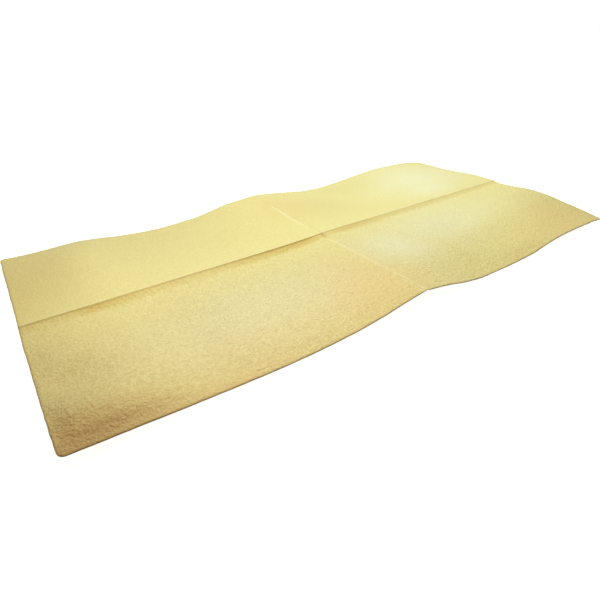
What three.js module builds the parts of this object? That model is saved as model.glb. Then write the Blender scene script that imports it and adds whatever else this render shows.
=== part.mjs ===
// Dust cloth: one rectangular sheet of soft yellow needle felt, opened out of a quarter fold and
// laid on a flat surface. The two pressed creases cross in the middle and stand up as low ridges.
// Between them the sheet sags in waves until it touches the surface. Each crease is a hinge of bare
// felt, so the sheet is modelled as the four panels that swing on one another there.
// Millimetres, +Z up, +X along the length, origin on the surface under the middle of the sheet.

import * as THREE from 'three';

// Sheet
const LENGTH = 600;
const WIDTH = 300;
const THICKNESS = 1;
const CORNER_RADIUS = 3;

// Creases
const CREASE_HEIGHT = 13; // underside of both ridges, above the surface
const CREASE_GAP = 0.3; // slit between neighbouring panels
const PRESSED_THICKNESS = 0.4; // felt squeezed by the fold
const PRESSED_REACH = 8; // distance from a crease to felt of full thickness

// The front panels drop in a short step beside the long crease, then level out again.
const STEP_DROP = 3;
const STEP_REACH = 8; // distance in which most of the drop happens
const STEP_RUN_IN = 14; // distance from the cross crease in which the step starts

// Grid of each panel, closer towards the creases
const CELL_SIZE = 10; // average
const CROWDING_ALONG = 1.25;
const CROWDING_ACROSS = 1.6;

// Waves of each panel's free edges. The first number of a pair is the share of the way from the crease to
// the outer corner, the second the underside's height as a share of the crease's. Below zero the felt lies
// flat on the surface. The crown lifts a panel's middle, as a share of the same height.
const PANELS = [
  {
    name: 'rear_left_panel',
    side: [-1, 1],
    stepped: false,
    crown: 0,
    corner: 0.54,
    longEdge: [[0.11, 0.81], [0.28, 0.2], [0.44, -0.23], [0.58, 0.2], [0.75, 0.65], [0.91, 0.55]],
    shortEdge: [[0.5, 0.77]],
  },
  {
    name: 'rear_right_panel',
    side: [1, 1],
    stepped: false,
    crown: 0,
    corner: 0.38,
    longEdge: [[0.13, 0.58], [0.26, 0.1], [0.35, -0.23], [0.48, 0.31], [0.72, 0.77], [0.89, 0.62]],
    shortEdge: [[0.2, 1], [0.47, 0.81], [0.73, 0.68]],
  },
  {
    name: 'front_left_panel',
    side: [-1, -1],
    stepped: true,
    crown: 0.15,
    corner: 0.54,
    longEdge: [[0.1, 0.66], [0.23, 0.23], [0.43, -0.23], [0.67, 0.18]],
    shortEdge: [[0.4, 0.77]],
  },
  {
    name: 'front_right_panel',
    side: [1, -1],
    stepped: true,
    crown: 0,
    corner: 0.54,
    longEdge: [[0.1, 0.63], [0.22, 0.14], [0.39, -0.23], [0.6, 0.42], [0.76, 0.78], [0.92, 0.75]],
    shortEdge: [[0.38, 1.32], [0.65, 1.08], [0.87, 0.8]],
  },
];

const FELT_COLOUR = 0xe8dc9c;

// Smooth curve through points that never swings past them, as [share, height] pairs in order
function smoothCurve(points) {
  const steps = points.slice(1).map(([at, height], i) => {
    const span = at - points[i][0];
    return { span, rise: (height - points[i][1]) / span };
  });
  const slopes = points.map((point, i) => {
    const before = steps[i - 1];
    const after = steps[i];
    if (!before) return after.rise;
    if (!after) return before.rise;
    if (before.rise * after.rise <= 0) return 0;
    const near = 2 * after.span + before.span;
    const far = after.span + 2 * before.span;
    return (near + far) / (near / before.rise + far / after.rise);
  });
  return (at) => {
    const i = Math.max(0, Math.min(steps.length - 1, points.findIndex(([end]) => end >= at) - 1));
    const { span } = steps[i];
    const t = (at - points[i][0]) / span;
    const rest = 1 - t;
    const start = points[i][1] * (1 + 2 * t) + slopes[i] * span * t;
    const end = points[i + 1][1] * (1 + 2 * rest) - slopes[i + 1] * span * rest;
    return start * rest * rest + end * t * t;
  };
}

// Curve of one free edge, from the end of a crease to the panel's outer corner
function freeEdge(waves, corner) {
  return smoothCurve([[0, 1], ...waves, [1, corner]]);
}

// Height of a panel's underside from the distances to the cross crease (along) and long crease (across)
function panelHeight({ longEdge, shortEdge, corner, stepped, crown }) {
  const long = freeEdge(longEdge, corner);
  const short = freeEdge(shortEdge, corner);
  return (along, across) => {
    const u = along / (LENGTH / 2);
    const v = across / (WIDTH / 2);
    const sag = v * (1 - long(u)) + u * (1 - short(v)) - u * v * (1 - corner);
    const swell = crown * Math.sin(Math.PI * u) * Math.sin(Math.PI * v);
    let height = CREASE_HEIGHT * (1 - sag + swell);
    if (stepped) {
      const runIn = 1 - Math.exp(-along / STEP_RUN_IN);
      const fall = 1 - Math.exp(-across / STEP_REACH);
      height -= STEP_DROP * runIn * fall * (1 - v) ** 2;
    }
    return Math.max(0, height);
  };
}

// Thickness of the felt, squeezed along both creases
function feltThickness(along, across) {
  const t = Math.min(1, Math.min(along, across) / PRESSED_REACH);
  return PRESSED_THICKNESS + (THICKNESS - PRESSED_THICKNESS) * t * t * (3 - 2 * t);
}

// Distances of the grid lines from a crease, from the slit to the free edge
function gridLines(reach, crowding) {
  const start = CREASE_GAP / 2;
  const cells = Math.round(reach / CELL_SIZE);
  return Array.from({ length: cells + 1 }, (_, i) => start + (reach - start) * (i / cells) ** crowding);
}

// Closed solid of one panel: a top grid, a bottom grid and the wall between their rims
function panelGeometry(panel) {
  const [sideX, sideY] = panel.side;
  const height = panelHeight(panel);
  const alongs = gridLines(LENGTH / 2, CROWDING_ALONG);
  const acrosses = gridLines(WIDTH / 2, CROWDING_ACROSS);
  const columns = alongs.length;
  const rows = acrosses.length;
  const cornerPull = CORNER_RADIUS * (1 - Math.SQRT1_2);
  const tops = [];
  const bottoms = [];
  acrosses.forEach((across, row) => {
    alongs.forEach((along, column) => {
      const pull = row === rows - 1 && column === columns - 1 ? cornerPull : 0;
      const top = height(along, across) + THICKNESS;
      const bottom = top - feltThickness(along, across);
      const x = sideX * (along - pull);
      const y = sideY * (across - pull);
      tops.push(x, y, top);
      bottoms.push(x, y, bottom);
    });
  });

  const bottomStart = columns * rows;
  const indices = [];
  const mirrored = sideX * sideY < 0;
  const addQuad = (a, b, c, d) => {
    const corners = mirrored ? [a, d, c, a, c, b] : [a, b, c, a, c, d];
    indices.push(...corners);
  };
  for (let row = 0; row < rows - 1; row += 1) {
    for (let column = 0; column < columns - 1; column += 1) {
      const a = row * columns + column;
      const b = a + 1;
      const c = b + columns;
      const d = a + columns;
      addQuad(a, b, c, d);
      addQuad(bottomStart + a, bottomStart + d, bottomStart + c, bottomStart + b);
    }
  }
  const addWall = (from, to) => addQuad(from, bottomStart + from, bottomStart + to, to);
  const lastRow = (rows - 1) * columns;
  for (let column = 0; column < columns - 1; column += 1) {
    addWall(column, column + 1);
    addWall(lastRow + column + 1, lastRow + column);
  }
  for (let row = 0; row < rows - 1; row += 1) {
    const start = row * columns;
    const end = start + columns - 1;
    addWall(start + columns, start);
    addWall(end, end + columns);
  }

  const geometry = new THREE.BufferGeometry();
  geometry.setAttribute('position', new THREE.Float32BufferAttribute([...tops, ...bottoms], 3));
  geometry.setIndex(indices);
  geometry.computeVertexNormals();
  return geometry;
}

function feltMaterial() {
  return new THREE.MeshStandardMaterial({ color: FELT_COLOUR, roughness: 0.95, metalness: 0 });
}

const dustCloth = new THREE.Group();
for (const panel of PANELS) {
  const mesh = new THREE.Mesh(panelGeometry(panel), feltMaterial());
  mesh.name = panel.name;
  dustCloth.add(mesh);
}

export default dustCloth;
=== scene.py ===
"""Dust cloth: one sheet of pale yellow needle felt, opened out of a quarter fold on a white table.

The sheet is three pieces that meet along the creases. The left half is one piece across the long crease, so
that the cloth has no seam there. The two right quarters turn at creases that lie close to the axes of
their joints. Sizes are in millimetres until a mesh is made; the scene is in metres.
"""

import math

import bpy
import numpy as np
from mathutils import Matrix, Vector


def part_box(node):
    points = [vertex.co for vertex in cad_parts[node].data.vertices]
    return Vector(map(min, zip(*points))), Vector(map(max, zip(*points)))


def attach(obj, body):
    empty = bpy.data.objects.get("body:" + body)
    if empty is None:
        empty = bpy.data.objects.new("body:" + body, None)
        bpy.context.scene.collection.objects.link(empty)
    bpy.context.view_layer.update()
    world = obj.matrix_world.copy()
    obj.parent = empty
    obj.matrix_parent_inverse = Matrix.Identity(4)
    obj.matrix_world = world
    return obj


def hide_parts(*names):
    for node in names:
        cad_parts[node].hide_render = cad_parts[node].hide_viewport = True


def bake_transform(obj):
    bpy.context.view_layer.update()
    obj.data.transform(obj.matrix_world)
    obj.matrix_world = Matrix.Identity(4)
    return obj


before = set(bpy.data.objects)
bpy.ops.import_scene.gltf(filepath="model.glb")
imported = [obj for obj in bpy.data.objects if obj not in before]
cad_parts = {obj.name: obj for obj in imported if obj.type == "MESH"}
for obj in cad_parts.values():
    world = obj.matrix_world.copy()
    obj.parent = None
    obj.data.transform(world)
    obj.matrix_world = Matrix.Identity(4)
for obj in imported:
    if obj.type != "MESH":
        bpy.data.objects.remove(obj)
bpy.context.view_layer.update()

MM = 0.001

# Sheet, as wide and long as the solids
HALF_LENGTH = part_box("rear_right_panel")[1].x / MM
HALF_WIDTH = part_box("rear_right_panel")[1].y / MM
THICKNESS = 1.0
CORNER_RADIUS = 4.0
EDGE_ROUND = 0.25  # how far the cut edge's rim is worn down
EDGE_WAVER = 0.25  # how far the cut edge strays from a straight line
WAVER_PITCH = 14.0
WAVER_REACH = 6.0  # distance from the edge in which the felt strays with it
LEFT_BOW = {  # how far the left edge bulges outwards, from the long crease: (distance, bulge)
    "rear": [(0, 1.0), (20, 0.6), (60, 0.4), (150, 0.0)],
    "front": [(0, 1.0), (10, 1.5), (25, 1.6), (50, 1.4), (80, 1.4), (115, 1.1), (140, 0.6), (150, 0.0)],
}
BOW_REACH = 60.0

# Creases
PRESSED_THICKNESS = 0.4  # felt squeezed by the fold
PRESSED_REACH = 8.0  # distance from a crease to felt of full thickness
MEETING_GAP = 0.005  # a piece stops this far from a crease where it meets another
CREST_ROUND = 2.5  # how far the top of the cross crease's ridge is rounded, at the crossing
END_ROUND = 8.0  # the same at its ends

BEAD_HEIGHT = 0.6  # raised line of the cross crease
BEAD_WIDTH = 1.8
BEAD_PLACE = [(-150, 1), (-111, 1), (-92, 0), (-46, -1), (0, -4), (34, -6), (70, -4), (105, -3),
              (150, 0)]  # (y, x)
BEAD_SHARE = [(-150, 0.8), (-100, 0.9), (-75, 1.0), (-42, 1.0), (-22, 0.6), (-8, 0.0), (15, 0.0),
              (34, 0.8), (80, 0.8), (120, 0.0), (150, 0.0)]  # (y, share)

# The front half drops in a short step beside the long crease.
LIP_DROP = {"left": 0.5, "right": 0.3}
LIP_REACH = 0.8
STEP_DROP = {"left": 3.5, "right": 2.2}
STEP_REACH = 9.0
STEP_RUN_IN = 14.0  # distance from the cross crease in which the step starts

# Small creases that slant away from the long crease where the felt is bunched, in front on the left
GATHER_HEIGHT = 0.45
GATHER_PITCH = 5.0
GATHER_SLANT = 0.5
GATHER_PLACE = -206.0
GATHER_SPREAD = 30.0
GATHER_REACH = 3.5  # distance from the long crease where they are highest

# Short groove that leaves the crossing of the creases towards the front
GROOVE_DEPTH = 0.6
GROOVE_PLACE = -3.0
GROOVE_WIDTH = 1.2
GROOVE_LENGTH = 18.0

# Heights of the top face, from the cross crease or the long crease outwards: (distance, height)
LONG_CREASE = {
    "left": [(0, 14.5), (20, 13.6), (67, 12.9), (150, 12.8), (300, 12.4)],
    "right": [(0, 14.5), (3, 14.85), (8, 14.95), (60, 15.2), (95, 15.8), (130, 15.6), (219, 15.1),
              (300, 15.6)],
}
CROSS_CREASE = {
    "rear": [(0, 14.5), (15, 13.9), (45, 13.7), (80, 13.6), (150, 13.9)],
    "front": [(0, 14.5), (15, 13.9), (75, 13.8), (150, 14.2)],
}
LONG_EDGES = {
    ("left", "rear"): [(0, 13.9), (33, 11.4), (84, 3.2), (131, 1.0), (174, 3.4), (200, 6.7), (225, 8.7),
                       (273, 7.6), (300, 8.5)],
    ("right", "rear"): [(0, 13.9), (39, 8.7), (79, 3.6), (100, 3.1), (144, 6.2), (191, 10.4), (215, 11.8),
                        (250, 10.9), (280, 9.4), (300, 7.2)],
    ("left", "front"): [(0, 14.5), (17, 11.6), (44, 6.8), (83, 2.8), (130, 1.0), (200, 3.2), (240, 5.2),
                        (300, 8.5)],
    ("right", "front"): [(0, 14.5), (28, 9.5), (46, 5.6), (82, 1.2), (118, 1.0), (160, 2.8), (181, 6.2),
                         (202, 9.0), (235, 10.6), (275, 10.2), (300, 8.0)],
}
SHORT_EDGES = {
    ("left", "rear"): [(0, 12.4), (75, 10.5), (150, 8.5)],
    ("right", "rear"): [(0, 15.6), (21, 15.7), (47, 14.2), (69, 12.2), (103, 10.2), (122, 9.8), (141, 8.4),
                        (150, 7.2)],
    ("left", "front"): [(0, 12.4), (55, 9.2), (100, 8.4), (150, 8.5)],
    ("right", "front"): [(0, 15.6), (30, 17.2), (57, 19.0), (82, 17.6), (100, 15.0), (114, 13.3), (150, 8.0)],
}
CROWN = {("left", "front"): 2.0}  # lift in the middle of a panel

# Soft folds between the creases: x, y, direction in degrees, half length, half width and height
FOLDS = [
    (-266, -124, -6, 38, 20, 6.8),
    (-245, -85, 90, 30, 20, 1.2),
    (-272, -49, 0, 26, 17, 2.2),
    (-278, -82, 0, 22, 13, -3.0),
    (-190, -98, 90, 42, 23, -5.0),
    (-210, -42, -37, 35, 20, -1.6),
    (-236, 100, 90, 45, 28, 4.4),
    (-234, 44, 90, 26, 28, 2.0),
    (-243, -6, 0, 16, 5, -0.9),
    (-110, -54, 0, 50, 32, -1.4),
    (65, -98, 0, 46, 28, 3.5),
    (160, -56, 8, 44, 22, -2.5),
    (238, -86, 90, 34, 34, 2.3),
    (160, -132, 0, 35, 18, 1.4),
    (232, 2, 0, 36, 16, 0.2),
    (112, 18, 15, 36, 18, -1.5),
    (170, 40, 0, 60, 28, -1.6),
    (18, 108, 90, 40, 22, 1.0),
    (-85, 82, 0, 75, 42, -0.9),
]
FOLD_FADE = 15.0  # distance from a free edge in which the folds die away

# Felt surface: pebbles of matted fibre on wider lumps
PEBBLE_PITCH = 2.5
PEBBLE_HEIGHT = {"rear": 0.08, "front": 0.19}
LUMP_PITCH = 9.0
LUMP_HEIGHT = 0.06
EDGE_CALM = 3.0  # distance from a free edge in which the pebbles die away
NAP = {  # share of the fine relief, from left to right: (x, share)
    "rear": [(-300, 0.45), (-150, 0.5), (0, 0.4), (300, 0.5)],
    "front": [(-300, 0.9), (-240, 0.9), (-150, 1.2), (0, 0.9), (300, 0.6)],
}
NAP_START = 0.75  # what is left of that share right in front of the long crease
NAP_RISE = 70.0  # distance from the crease in which it grows back
UNDERSIDE_NAP = 0.55  # the same share for the underside
LATTICE = 512  # cells of the random lattices, after which they repeat
LATTICE_TURNS = (0.3, 1.4, 2.5)  # radians
SEEDS = {"end edges": 3, "long edges": 4, "pebbles": 7, "lumps": 8}

# Mesh
CELL = 1.15
FINE_CELL = 0.6  # beside the creases
FINE_REACH = 9.0
UNDERSIDE_STEP = 2  # lines of the top grid to one line of the bottom grid
UNDERSIDE = np.s_[::UNDERSIDE_STEP, ::UNDERSIDE_STEP]  # what the bottom grid has of the top one

# Shade in front of the long crease, along it from left to right: (x, share)
FOLD_SHADE = [(-300, 0.1), (-270, 0.25), (-243, 0.75), (-200, 0.45), (-150, 0.35), (-110, 0.5),
              (-70, 0.85), (-30, 1.0), (0, 0.6), (30, 0.8), (90, 0.5), (150, 0.45), (220, 0.5), (300, 0.4)]
FOLD_SHADE_BAND = 0.58  # depth of the wide band's painted shade
BAND_FULL = 4.0  # distance from the crease to which the band is even
BAND_FADE = 7.0  # distance in which it fades after that
LINE_WIDTH = {"rear": 0.4, "front": 1.3}  # painted shade: dark line of the long crease, behind it and in front
LINE_SHADE = [(-300, 0.45), (-260, 0.5), (-225, 0.35), (-190, 0.3), (-160, 0.4), (-120, 0.5), (-70, 0.8),
              (-10, 0.9), (10, 0.5), (60, 0.3), (120, 0.2), (200, 0.25), (300, 0.2)]
GROOVE_SHADE = 0.8  # how dark the painted shade in the groove at the crossing is
RIM_SHADE = 0.7  # painted shade: thin dark line along the cut edges
RIM_WIDTH = 1.1
BEAD_WORN_AND_LIT = 0.85  # pale line of the cross crease: partly felt rubbed pale, partly a painted highlight on its crest
STRIP_LIT = 0.5  # painted highlight: pale rim behind the long crease
STRIP_LIT_WIDTH = 2.0

# Painted light and shade on the felt, each a list of zones: x, y, half length, half width and share
WARM_SHADE = [  # painted shade, warmer
    (-300, -150, 75, 26, 0.75),
    (-262, -153, 62, 15, 0.6),
    (-190, -152, 50, 18, 0.35),
    (-30, -105, 42, 45, 0.6),
    (20, 90, 40, 40, 0.3),
    (270, -125, 70, 40, 0.5),
]
PALE_HIGHLIGHT = [  # painted highlight, whiter
    (205, 36, 45, 30, 1.0),
    (220, 80, 80, 60, 1.0),
    (130, -50, 100, 42, 0.7),
    (48, -66, 45, 42, 0.8),
    (-125, -85, 115, 60, 0.5),
]
LIGHT_POOL = [  # painted light, lighter
    (-135, -142, 115, 60, 1.0),
]
DEEP_WARM_SHADE = [  # painted shade, darker and warmer
    (-300, -152, 55, 17, 0.8),
    (-255, -154, 45, 10, 0.6),
]
SPECKS_AND_SHADE_ZONES = [  # with stronger specks: the felt's specks, and painted shade and highlight on the pebbles where light grazes
    (-225, -112, 42, 42, 1.0),
    (-130, -130, 60, 40, 0.6),
    (-20, -112, 80, 45, 1.0),
    (130, -85, 120, 60, 0.35),
]
DARK_SHADE = [  # painted shade, darker
    (-300, 75, 60, 80, 0.72),
    (-60, 100, 400, 100, 0.15),
    (300, -105, 50, 50, 0.7),
    (50, 75, 70, 50, 0.45),
    (130, 120, 80, 50, 0.42),
]

# Camera, solved from the photograph's corners and edges
FRAME_PIXELS = 600
FOCAL_PIXELS = 461.3
CAMERA_PLACE = (-282.8, -371.4, 223.0)
CAMERA_YAW = 34.10
CAMERA_PITCH = 32.37
CAMERA_ROLL = 0.73
SENSOR_WIDTH = 36.0
CLIP_START = 10.0

# Colours are linear.
FELT = (0.925, 0.895, 0.425)
FELT_DEEP = (0.700, 0.590, 0.230)
# Painted shade of the band in front of the long crease
FELT_FOLD_SHADE = (0.660, 0.450, 0.080)
# Painted shade of the crease line, the groove and the rims
FELT_LINE_SHADE = (0.400, 0.300, 0.070)
# Pale crease lines: partly rubbed felt, partly painted highlight
FELT_WORN_AND_LIT = (0.950, 0.910, 0.520)
# Painted shade, warmer
FELT_WARM_SHADE = (0.880, 0.640, 0.270)
# Painted highlight, whiter
FELT_PALE_HIGHLIGHT = (0.880, 0.900, 0.620)
# Painted shade, darker and warmer
FELT_DEEP_WARM_SHADE = (0.660, 0.490, 0.235)
LIGHT_POOL_GAIN = (1.12, 1.07, 1.04)  # multiplies the colour: painted light
# Painted shade, darker
FELT_DARK_SHADE = (0.740, 0.680, 0.280)
# Darker brown of the cut felt, and painted shade on the cut edge's walls
CUT_EDGE_AND_SHADE = (0.42, 0.31, 0.15)

# How far the deep colour shows: as painted shade between the pebbles, and in pits, in specks and in wide
# patches
HOLLOW_SHADE_DEPTH = 0.5
PIT_DEPTH = 0.5
# Specks of the felt, made stronger in zones as painted shade and highlight on the pebbles
SPECKS_AND_SHADE_DEPTH = 2.2
PATCH_DEPTH = 0.12

# Noises of the felt: scale per metre, detail, roughness and distortion
FIBRES = (1500.0, 3.0, 0.6, 0.6)
PITS = (480.0, 1.5, 0.5, 0.3)
SPECKS = (260.0, 3.0, 0.65, 0.0)
PATCHES = (14.0, 2.0, 0.55, 0.0)
FIBRE_SHARE = 0.25  # height of the fibres against the pits
BUMP_HEIGHT = 1.4
ROUGHNESS = 0.95
SPECULAR = 0.2
SHEEN = 0.6
SHEEN_ROUGHNESS = 0.4
SHEEN_TINT = (1.0, 1.0, 0.9)

# Table and light
TABLE_REACH = 4000.0
TABLE_DROP = 0.5  # below the cloth
TABLE_COLOUR = (0.8, 0.8, 0.8)
TABLE_GLOW = 0.92  # brings the table near white for the camera
ROOM_COLOUR = (1.0, 0.58, 0.36)
ROOM_STRENGTH = 0.322
WHITE = (1.0, 1.0, 1.0)
LAMPS = {
    "key_lamp": {
        "place": (335, 402, 884),
        "target": (163, -50, 0),
        "size": 200,
        "spread": 143,
        "power": 4.95,
        "colour": (0.85, 1.0, 0.90),
    },
    "fill_lamp": {
        "place": (-271, -134, 256),
        "target": (392, 400, 0),
        "size": 100,
        "spread": 152,
        "power": 0.42,
        "colour": (1.0, 0.98, 0.94),
    },
}


def smooth_curve(points):
    """Curve through (place, height) points in order that never swings past them."""
    place, height = np.array(points, float).T
    span = np.diff(place)
    rise = np.diff(height) / span
    slope = np.concatenate([rise[:1], np.zeros(len(span) - 1), rise[-1:]])
    for i in range(1, len(span)):
        if rise[i - 1] * rise[i] > 0:
            near = 2 * span[i] + span[i - 1]
            far = span[i] + 2 * span[i - 1]
            slope[i] = (near + far) / (near / rise[i - 1] + far / rise[i])

    def curve(x):
        i = np.clip(np.searchsorted(place, x) - 1, 0, len(span) - 1)
        t = (x - place[i]) / span[i]
        rest = 1 - t
        start = height[i] * (1 + 2 * t) + slope[i] * span[i] * t
        end = height[i + 1] * (1 + 2 * rest) - slope[i + 1] * span[i] * rest
        return start * rest**2 + end * t**2

    return curve


def smooth_step(t):
    """Rises softly from 0 to 1 while t does."""
    t = np.clip(t, 0, 1)
    return t * t * (3 - 2 * t)


def soft_noise(x, y, size, seed):
    """Soft random lumps of about that size, from three random lattices turned against each other."""
    random = np.random.default_rng(seed)
    spacing = size / 2
    total = np.zeros_like(x)
    for turn in LATTICE_TURNS:
        lattice = random.normal(size=(LATTICE, LATTICE))
        u = (x * math.cos(turn) + y * math.sin(turn)) / spacing
        v = (y * math.cos(turn) - x * math.sin(turn)) / spacing
        i, j = np.floor(u).astype(int), np.floor(v).astype(int)
        blend_u, blend_v = smooth_step(u - i), smooth_step(v - j)
        for step_u, share_u in ((0, 1 - blend_u), (1, blend_u)):
            for step_v, share_v in ((0, 1 - blend_v), (1, blend_v)):
                total += share_u * share_v * lattice[(i + step_u) % LATTICE, (j + step_v) % LATTICE]
    return total / math.sqrt(len(LATTICE_TURNS))


def bell(t):
    """Falls softly from 1 at zero towards 0 on both sides."""
    return np.exp(-(t**2))


def fold_relief(x, y):
    """Soft folds, which leave the free edges where they are."""
    total = np.zeros_like(x)
    for at_x, at_y, direction, length, width, height in FOLDS:
        turn = math.radians(direction)
        along = (x - at_x) * math.cos(turn) + (y - at_y) * math.sin(turn)
        across = (y - at_y) * math.cos(turn) - (x - at_x) * math.sin(turn)
        total += height * bell(along / length) * bell(across / width)
    hold_x = smooth_step((HALF_LENGTH - np.abs(x)) / FOLD_FADE)
    hold_y = smooth_step((HALF_WIDTH - np.abs(y)) / FOLD_FADE)
    return total * hold_x * hold_y


def bead(x, y):
    """Share of the raised line along the cross crease."""
    return bell((x - smooth_curve(BEAD_PLACE)(y)) / BEAD_WIDTH) * smooth_curve(BEAD_SHARE)(y)


def groove(x, y):
    """Share of the short groove in front of the crossing."""
    start = smooth_step(-y / GROOVE_WIDTH)
    end = 1 - smooth_step(-y / GROOVE_LENGTH)
    return bell((x - GROOVE_PLACE) / GROOVE_WIDTH) * start * end


def gathers(x, y):
    """Height of the small creases, which start at the long crease and die away in front of it."""
    wave = np.cos(math.tau * (x + GATHER_SLANT * y) / GATHER_PITCH)
    reach = np.maximum(-y, 0) / GATHER_REACH
    return GATHER_HEIGHT * wave * bell((x - GATHER_PLACE) / GATHER_SPREAD) * reach * np.exp(1 - reach)


def by_row(y, values):
    """Takes the front value in front of the long crease and on it, and the rear value behind it."""
    return np.where(y > 0, values["rear"], values["front"])


def curves_by_row(x, y, tables):
    """The same for curves along x or y."""
    return by_row(y, {row: smooth_curve(points)(x) for row, points in tables.items()})


def fold_shade(x, y):
    """How far the felt takes the painted shade of the fold, in a band in front of the long crease."""
    share = smooth_curve(FOLD_SHADE)(x) * (y <= 0)
    return FOLD_SHADE_BAND * share * (1 - smooth_step((-y - BAND_FULL) / BAND_FADE))


def line_shade(x, y):
    """How far the felt takes the painted shade of the long crease's line, the groove in front of it or the
    rim.
    """
    to_edge = np.minimum(HALF_LENGTH - np.abs(x), HALF_WIDTH - np.abs(y))
    rim = RIM_SHADE * bell(to_edge / RIM_WIDTH)
    line = smooth_curve(LINE_SHADE)(x) * bell(y / by_row(y, LINE_WIDTH))
    return np.maximum.reduce([rim, line, GROOVE_SHADE * groove(x, y)])


def worn_and_lit_crease(x, y):
    """How far the felt is paled: the line of the cross crease, partly rubbed pale and partly a painted
    highlight, and the rim behind the long one, a painted highlight.
    """
    strip = STRIP_LIT * bell(y / STRIP_LIT_WIDTH) * (y > 0)
    return np.maximum(BEAD_WORN_AND_LIT * bead(x, y), strip)


def zone_share(x, y, zones):
    """Share of a zone list of painted light and shade, fading out round each of its zones."""
    total = np.zeros_like(x)
    for at_x, at_y, length, width, share in zones:
        total = np.maximum(total, share * bell((x - at_x) / length) * bell((y - at_y) / width))
    return total


def panel_height(side, row, along, across):
    """Top of one panel from the distances to the cross crease (along) and to the long crease (across)."""
    u = along / HALF_LENGTH
    v = across / HALF_WIDTH
    ridge = smooth_curve(LONG_CREASE[side])
    free = smooth_curve(LONG_EDGES[side, row])
    fold = smooth_curve(CROSS_CREASE[row])
    end = smooth_curve(SHORT_EDGES[side, row])
    corners = (
        (1 - u) * (1 - v) * fold(0.0)
        + u * (1 - v) * end(0.0)
        + (1 - u) * v * free(0.0)
        + u * v * free(HALF_LENGTH)
    )
    height = (1 - v) * ridge(along) + v * free(along) + (1 - u) * fold(across) + u * end(across) - corners
    height += CROWN.get((side, row), 0.0) * np.sin(np.pi * u) * np.sin(np.pi * v)
    if row == "front":
        run_in = 1 - np.exp(-along / STEP_RUN_IN)
        height -= STEP_DROP[side] * run_in * np.tanh(across / STEP_REACH) * (1 - v) ** 2
        height -= LIP_DROP[side] * run_in * (1 - np.exp(-across / LIP_REACH)) * (1 - v) ** 2
    return height


def sheet_height(x, y, side):
    """Top of one half of the sheet without its felt, with the ridge of the cross crease rounded off."""
    across = np.abs(y)
    crest = CREST_ROUND + (END_ROUND - CREST_ROUND) * (across / HALF_WIDTH) ** 2
    along = np.hypot(x, crest) - crest
    along *= HALF_LENGTH / (np.hypot(HALF_LENGTH, crest) - crest)
    height = by_row(y, {row: panel_height(side, row, along, across) for row in ("rear", "front")})
    height += fold_relief(x, y) + BEAD_HEIGHT * bead(x, y) + gathers(x, y) - GROOVE_DEPTH * groove(x, y)
    return np.maximum(height, THICKNESS)


def felt_thickness(x, y):
    """Thickness of the felt, squeezed along both creases."""
    to_crease = np.minimum(np.abs(x), np.abs(y))
    return PRESSED_THICKNESS + (THICKNESS - PRESSED_THICKNESS) * smooth_step(to_crease / PRESSED_REACH)


def grid_lines(start, end):
    """Places from a crease to a free edge, closer beside the crease, with an even count of cells."""
    fine = np.arange(start, FINE_REACH - FINE_CELL / 2, FINE_CELL)
    cells = round((end - FINE_REACH) / CELL)
    cells += (len(fine) + cells + 1) % UNDERSIDE_STEP
    coarse = np.linspace(FINE_REACH, end - EDGE_ROUND, cells + 1)
    return np.concatenate([fine, coarse, [end]])


def rounded_corner(x, y):
    """Moves the points of a corner's square onto a quarter disc."""
    beyond_x = np.abs(x) - (HALF_LENGTH - CORNER_RADIUS)
    beyond_y = np.abs(y) - (HALF_WIDTH - CORNER_RADIUS)
    inside = (beyond_x > 0) & (beyond_y > 0)
    shrink = np.where(inside, np.maximum(beyond_x, beyond_y) / np.hypot(beyond_x, beyond_y), 1.0)
    new_x = np.where(inside, np.sign(x) * (HALF_LENGTH - CORNER_RADIUS + beyond_x * shrink), x)
    new_y = np.where(inside, np.sign(y) * (HALF_WIDTH - CORNER_RADIUS + beyond_y * shrink), y)
    return new_x, new_y


def waver(place, seed):
    """How far a cut edge lies inside its straight line."""
    return EDGE_WAVER * (0.5 + 0.5 * soft_noise(place, np.zeros_like(place), WAVER_PITCH, seed).clip(-1, 1))


def outline(flat_x, flat_y):
    """Places seen from above: round corners, edges cut a little uneven and the left one bulging."""
    x, y = rounded_corner(flat_x, flat_y)
    near_x = smooth_step((np.abs(flat_x) - HALF_LENGTH + WAVER_REACH) / WAVER_REACH)
    near_y = smooth_step((np.abs(flat_y) - HALF_WIDTH + WAVER_REACH) / WAVER_REACH)
    x = x - np.sign(x) * near_x * waver(flat_y, SEEDS["end edges"])
    y = y - np.sign(y) * near_y * waver(flat_x, SEEDS["long edges"])
    near_left = smooth_step((BOW_REACH - HALF_LENGTH - flat_x) / BOW_REACH)
    x = x - near_left * curves_by_row(np.abs(flat_y), flat_y, LEFT_BOW)
    return x, y


def rim_of(index):
    """Points of a grid's rim in turn, from its first corner round to the point before it."""
    return np.concatenate([index[0, :-1], index[:-1, -1], index[-1, :0:-1], index[:0:-1, 0]])


def grid_faces(index):
    """Four-sided faces of a grid, as rows of points."""
    return np.stack([index[:-1, :-1], index[:-1, 1:], index[1:, 1:], index[1:, :-1]], -1).reshape(-1, 4)


def wall_faces(top_rim, bottom_rim):
    """Wall between the rims: each face takes one edge below and the finer edges above it."""
    faces = []
    for i, low in enumerate(bottom_rim):
        low_next = bottom_rim[(i + 1) % len(bottom_rim)]
        first = i * UNDERSIDE_STEP
        high = [top_rim[(first + k) % len(top_rim)] for k in range(UNDERSIDE_STEP, -1, -1)]
        faces.append([low, low_next, *high])
    return faces


def flat_grid(side, rows):
    """Places of a piece's points on the flat cloth, over one row of panels or both."""
    xs = grid_lines(MEETING_GAP, HALF_LENGTH)
    if side == "left":
        xs = -xs[::-1]
    if len(rows) == 2:
        acrosses = grid_lines(0.0, HALF_WIDTH)
        ys = np.concatenate([-acrosses[:0:-1], acrosses])
    else:
        ys = grid_lines(MEETING_GAP, HALF_WIDTH)
        if rows[0] == "front":
            ys = -ys[::-1]
    return np.meshgrid(xs, ys)


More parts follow.
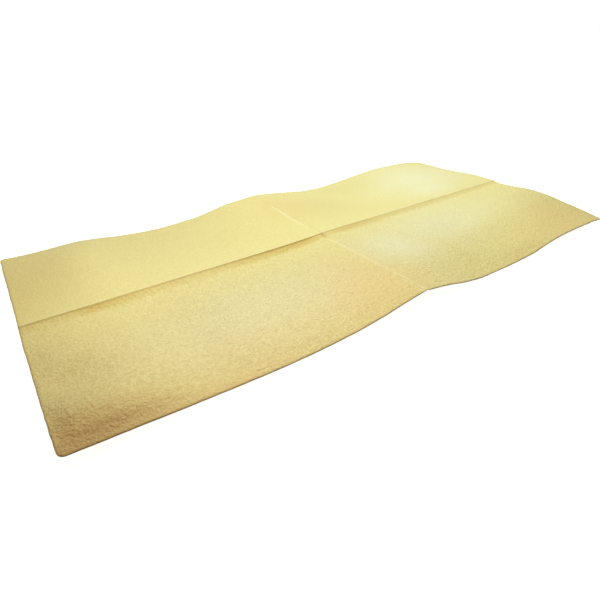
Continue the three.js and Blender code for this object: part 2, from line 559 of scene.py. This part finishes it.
def paint(mesh, flat_x, flat_y, pebbles, cut):
    """Keeps on the mesh what the felt's material needs: places on the flat cloth, nap, and painted light and
    shade.
    """

    def keep(attribute, upper, lower):
        values = np.concatenate([upper.ravel(), lower[UNDERSIDE].ravel()]).astype(np.float32)
        mesh.attributes.new(attribute, "FLOAT", "POINT").data.foreach_set("value", values)

    plain = np.zeros_like(flat_x)
    keep("along", flat_x * MM, flat_x * MM)
    keep("across", flat_y * MM, flat_y * MM)
    keep("layer", plain, plain + 1)
    nap = curves_by_row(flat_x, flat_y, NAP)
    nap *= np.where(flat_y > 0, 1, NAP_START + (1 - NAP_START) * smooth_step(-flat_y / NAP_RISE))
    keep("nap", nap, plain + UNDERSIDE_NAP)
    # Zones of stronger specks: painted shade and highlight on the pebbles
    keep("specks_and_shade", zone_share(flat_x, flat_y, SPECKS_AND_SHADE_ZONES), plain)
    # Painted shade in the hollows between the pebbles
    keep("hollow_shade", np.clip(0.5 - 0.5 * pebbles, 0, 1), plain)
    # Painted shade in a band in front of the long crease
    keep("fold", fold_shade(flat_x, flat_y), plain)
    # Painted shade, warmer, in zones
    keep("warm_shade", zone_share(flat_x, flat_y, WARM_SHADE), plain)
    # Painted highlight, whiter, in zones
    keep("pale_highlight", zone_share(flat_x, flat_y, PALE_HIGHLIGHT), plain)
    # Painted shade, darker and warmer, in zones
    keep("deep_warm_shade", zone_share(flat_x, flat_y, DEEP_WARM_SHADE), plain)
    # Painted light, lighter, in a zone
    keep("light_pool", zone_share(flat_x, flat_y, LIGHT_POOL), plain)
    # Painted shade, darker, in zones
    keep("dark_shade", zone_share(flat_x, flat_y, DARK_SHADE), plain)
    # Pale crease lines: partly rubbed felt, partly painted highlight
    keep("worn_and_lit", worn_and_lit_crease(flat_x, flat_y), plain)
    # Painted shade: dark lines of the long crease, the groove and the rims
    keep("line", line_shade(flat_x, flat_y), plain)
    keep("cut", cut, cut)


def make_piece(name, side, rows):
    """A piece of the sheet as a closed mesh: fine top grid, coarser bottom grid and a wall between them."""
    flat_x, flat_y = flat_grid(side, rows)
    x, y = outline(flat_x, flat_y)
    height = sheet_height(flat_x, flat_y, side)
    pebbles = soft_noise(flat_x, flat_y, PEBBLE_PITCH, SEEDS["pebbles"])
    lumps = soft_noise(flat_x, flat_y, LUMP_PITCH, SEEDS["lumps"])
    edge_x = np.abs(flat_x) > HALF_LENGTH - EDGE_ROUND / 2
    edge_y = np.abs(flat_y) > HALF_WIDTH - EDGE_ROUND / 2
    cut = (edge_x | edge_y).astype(float)
    to_crease = np.minimum(np.abs(flat_x), np.abs(flat_y))
    to_edge = np.minimum(HALF_LENGTH - np.abs(flat_x), HALF_WIDTH - np.abs(flat_y))
    calm = smooth_step(to_crease / PRESSED_REACH) * smooth_step(to_edge / EDGE_CALM)
    felt_relief = by_row(flat_y, PEBBLE_HEIGHT) * pebbles + LUMP_HEIGHT * lumps
    top = height - cut * EDGE_ROUND + calm * felt_relief
    bottom = height - felt_thickness(flat_x, flat_y) + cut * EDGE_ROUND

    top_index = np.arange(x.size).reshape(x.shape)
    bottom_index = x.size + np.arange(x[UNDERSIDE].size).reshape(x[UNDERSIDE].shape)
    places = np.concatenate([
        np.stack([x, y, top], -1).reshape(-1, 3),
        np.stack([x, y, bottom], -1)[UNDERSIDE].reshape(-1, 3),
    ]) * MM
    walls = wall_faces(rim_of(top_index).tolist(), rim_of(bottom_index).tolist())
    faces = [*grid_faces(top_index).tolist(), *grid_faces(bottom_index)[:, ::-1].tolist(), *walls]
    mesh = bpy.data.meshes.new(name)
    mesh.from_pydata(places, [], faces)
    # The walls on the cross crease stay flat, so that the seam doesn't show.
    smooth = np.ones(len(faces), bool)
    smooth[-len(walls):] = [np.abs(places[wall, 0]).max() > 2 * MEETING_GAP * MM for wall in walls]
    mesh.polygons.foreach_set("use_smooth", smooth)
    paint(mesh, flat_x, flat_y, pebbles, cut)
    piece = bpy.data.objects.new(name, mesh)
    bpy.context.scene.collection.objects.link(piece)
    return piece


class Nodes:
    """Short ways to add linked shader nodes to one material or world."""

    def __init__(self, tree):
        self.tree = tree
        tree.nodes.clear()

    def add(self, kind, settings=None, **inputs):
        node = self.tree.nodes.new(kind)
        for key, value in (settings or {}).items():
            setattr(node, key, value)
        for key, value in inputs.items():
            self.set(node, key.replace("_", " "), value)
        return node

    def set(self, node, key, value):
        socket = node.inputs[int(key) if key.isdigit() else key]
        if isinstance(value, bpy.types.NodeSocket):
            self.tree.links.new(value, socket)
        else:
            socket.default_value = value


def felt_material():
    """Matt felt: painted light and shade kept on the mesh, with fibres, pits and specks in the cloth's own
    places.
    """
    material = bpy.data.materials.new("felt")
    material.use_nodes = True
    nodes = Nodes(material.node_tree)

    def attribute(name):
        return nodes.add("ShaderNodeAttribute", {"attribute_name": name}).outputs["Fac"]

    flat = {"X": attribute("along"), "Y": attribute("across"), "Z": attribute("layer")}
    cloth = nodes.add("ShaderNodeCombineXYZ", **flat).outputs[0]

    def noise(scale, detail, roughness, distortion):
        node = nodes.add("ShaderNodeTexNoise", Vector=cloth, Scale=scale, Detail=detail, Roughness=roughness,
                         Distortion=distortion)
        return node.outputs["Fac"]

    def math_node(operation, first, second):
        node = nodes.add("ShaderNodeMath", {"operation": operation})
        nodes.set(node, "0", first)
        nodes.set(node, "1", second)
        return node.outputs[0]

    def mix(factor, first, second, kind="MIX"):
        # A mix node's colours are its inputs 6 and 7 and its output 2.
        node = nodes.add("ShaderNodeMix", {"data_type": "RGBA", "blend_type": kind, "clamp_result": True})
        nodes.set(node, "0", factor)
        nodes.set(node, "6", first)
        nodes.set(node, "7", second)
        return node.outputs[2]

    fibres = noise(*FIBRES)
    pits = noise(*PITS)
    specks = noise(*SPECKS)
    patches = noise(*PATCHES)
    # Painted shade in the hollows between the pebbles
    hollow_shade = math_node("MULTIPLY", attribute("hollow_shade"), HOLLOW_SHADE_DEPTH)
    pitted = math_node("MULTIPLY", pits, PIT_DEPTH)
    depth = math_node("MULTIPLY", math_node("ADD", hollow_shade, pitted), attribute("nap"))
    # Specks, stronger in zones as painted shade and highlight on the pebbles
    specks_and_shade = math_node("MULTIPLY", attribute("specks_and_shade"), SPECKS_AND_SHADE_DEPTH)
    specks_and_shade = math_node("MULTIPLY", specks_and_shade, math_node("SUBTRACT", specks, 0.5))
    depth = math_node("ADD", depth, specks_and_shade)
    colour = mix(depth, (*FELT, 1), (*FELT_DEEP, 1))
    blotch = math_node("MULTIPLY", patches, PATCH_DEPTH)
    colour = mix(blotch, colour, (*FELT_DEEP, 1))
    # Painted shade, warmer, in zones
    colour = mix(attribute("warm_shade"), colour, (*FELT_WARM_SHADE, 1))
    # Painted shade, darker and warmer, in zones
    colour = mix(attribute("deep_warm_shade"), colour, (*FELT_DEEP_WARM_SHADE, 1))
    # Painted highlight, whiter, in zones
    colour = mix(attribute("pale_highlight"), colour, (*FELT_PALE_HIGHLIGHT, 1))
    # Painted light, lighter, in a zone
    colour = mix(attribute("light_pool"), colour, (*LIGHT_POOL_GAIN, 1), "MULTIPLY")
    # Painted shade, darker, in zones
    colour = mix(attribute("dark_shade"), colour, (*FELT_DARK_SHADE, 1))
    # Painted shade in a band in front of the long crease
    colour = mix(attribute("fold"), colour, (*FELT_FOLD_SHADE, 1))
    # Pale crease lines: partly rubbed felt, partly painted highlight
    colour = mix(attribute("worn_and_lit"), colour, (*FELT_WORN_AND_LIT, 1))
    # Painted shade: dark lines of the long crease, the groove and the rims
    colour = mix(attribute("line"), colour, (*FELT_LINE_SHADE, 1))
    # Darker brown of the cut felt, and painted shade on the cut edge's walls
    colour = mix(attribute("cut"), colour, (*CUT_EDGE_AND_SHADE, 1))

    height = math_node("MULTIPLY", fibres, FIBRE_SHARE)
    height = math_node("ADD", height, pits)
    height = math_node("MULTIPLY", height, attribute("nap"))
    bump = nodes.add("ShaderNodeBump", Strength=1.0, Distance=BUMP_HEIGHT * MM, Height=height)

    shader = nodes.add("ShaderNodeBsdfPrincipled", Base_Color=colour, Roughness=ROUGHNESS,
                       Normal=bump.outputs[0])
    shader.inputs["Specular IOR Level"].default_value = SPECULAR
    shader.inputs["Sheen Weight"].default_value = SHEEN
    shader.inputs["Sheen Roughness"].default_value = SHEEN_ROUGHNESS
    shader.inputs["Sheen Tint"].default_value = (*SHEEN_TINT, 1)
    nodes.add("ShaderNodeOutputMaterial", Surface=shader.outputs[0])
    return material


def table_material():
    """White table: plain diffuse to the object, near white to the camera, and shaded under the cloth."""
    material = bpy.data.materials.new("table")
    material.use_nodes = True
    nodes = Nodes(material.node_tree)
    path = nodes.add("ShaderNodeLightPath")
    diffuse = nodes.add("ShaderNodeBsdfDiffuse", Color=(*TABLE_COLOUR, 1))
    seen = nodes.add("ShaderNodeMath", {"operation": "MULTIPLY"})
    nodes.set(seen, "0", path.outputs["Is Camera Ray"])
    nodes.set(seen, "1", TABLE_GLOW)
    glow = nodes.add("ShaderNodeEmission", Color=(*WHITE, 1), Strength=seen.outputs[0])
    both = nodes.add("ShaderNodeAddShader")
    nodes.set(both, "0", diffuse.outputs[0])
    nodes.set(both, "1", glow.outputs[0])
    nodes.add("ShaderNodeOutputMaterial", Surface=both.outputs[0])
    return material


def add_lamp(name, place, target, size, spread, power, colour):
    """Round lamp that points at a target, in millimetres, degrees and watts."""
    light = bpy.data.lights.new(name, "AREA")
    light.shape = "DISK"
    light.size = size * MM
    light.spread = math.radians(spread)
    light.energy = power
    light.color = colour
    lamp = bpy.data.objects.new(name, light)
    lamp.visible_camera = False
    lamp.location = Vector(place) * MM
    lamp.rotation_euler = (Vector(target) - Vector(place)).to_track_quat("-Z", "Y").to_euler()
    bpy.context.scene.collection.objects.link(lamp)


def add_camera():
    """Camera with the photograph's place, direction and lens."""
    yaw, pitch, roll = (math.radians(a) for a in (CAMERA_YAW, CAMERA_PITCH, CAMERA_ROLL))
    ahead = Vector((math.sin(yaw) * math.cos(pitch), math.cos(yaw) * math.cos(pitch), -math.sin(pitch)))
    level = Vector((math.cos(yaw), -math.sin(yaw), 0))
    down = ahead.cross(level)
    right = level * math.cos(roll) + down * math.sin(roll)
    up = right.cross(ahead)
    data = bpy.data.cameras.new("camera")
    data.sensor_width = SENSOR_WIDTH
    data.lens = FOCAL_PIXELS / FRAME_PIXELS * data.sensor_width
    data.clip_start = CLIP_START * MM
    camera = bpy.data.objects.new("camera", data)
    turn = Matrix((right, up, -ahead)).transposed().to_4x4()
    camera.matrix_world = Matrix.Translation(Vector(CAMERA_PLACE) * MM) @ turn
    bpy.context.scene.collection.objects.link(camera)
    bpy.context.scene.camera = camera


def light_scene():
    """Soft key lamp behind on the right, fill beside the camera, warm dim room, white where nothing is."""
    world = bpy.data.worlds.new("room")
    world.use_nodes = True
    nodes = Nodes(world.node_tree)
    path = nodes.add("ShaderNodeLightPath")
    room = nodes.add("ShaderNodeBackground", Color=(*ROOM_COLOUR, 1), Strength=ROOM_STRENGTH)
    white = nodes.add("ShaderNodeBackground", Color=(*WHITE, 1), Strength=1.0)
    seen = nodes.add("ShaderNodeMath", {"operation": "MAXIMUM"})
    nodes.set(seen, "0", path.outputs["Is Camera Ray"])
    nodes.set(seen, "1", path.outputs["Is Glossy Ray"])
    seen_through = nodes.add("ShaderNodeMath", {"operation": "MAXIMUM"})
    nodes.set(seen_through, "0", seen.outputs[0])
    nodes.set(seen_through, "1", path.outputs["Is Transmission Ray"])
    mixed = nodes.add("ShaderNodeMixShader", Fac=seen_through.outputs[0])
    nodes.set(mixed, "1", room.outputs[0])
    nodes.set(mixed, "2", white.outputs[0])
    nodes.add("ShaderNodeOutputWorld", Surface=mixed.outputs[0])
    bpy.context.scene.world = world
    for name, lamp in LAMPS.items():
        add_lamp(name, **lamp)


def add_table():
    """Wide flat table, just below the cloth."""
    mesh = bpy.data.meshes.new("table")
    reach = TABLE_REACH * MM
    level = -TABLE_DROP * MM
    corners = [(-reach, -reach, level), (reach, -reach, level), (reach, reach, level), (-reach, reach, level)]
    mesh.from_pydata(corners, [], [(0, 1, 2, 3)])
    table = bpy.data.objects.new("table", mesh)
    table.data.materials.append(table_material())
    bpy.context.scene.collection.objects.link(table)


bpy.context.scene.view_settings.view_transform = "Standard"
add_camera()
felt = felt_material()
left_half = make_piece("cloth_left_half", "left", ("rear", "front"))
rear_quarter = make_piece("cloth_rear_right_quarter", "right", ("rear",))
front_quarter = make_piece("cloth_front_right_quarter", "right", ("front",))
for piece, rows in ((left_half, 2), (rear_quarter, 1), (front_quarter, 1)):
    piece.data.materials.append(felt)
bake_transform(left_half)
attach(rear_quarter, "rear_right")
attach(front_quarter, "front_right")
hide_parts("rear_left_panel", "front_left_panel")
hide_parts("rear_right_panel")
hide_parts("front_right_panel")
add_table()
light_scene()
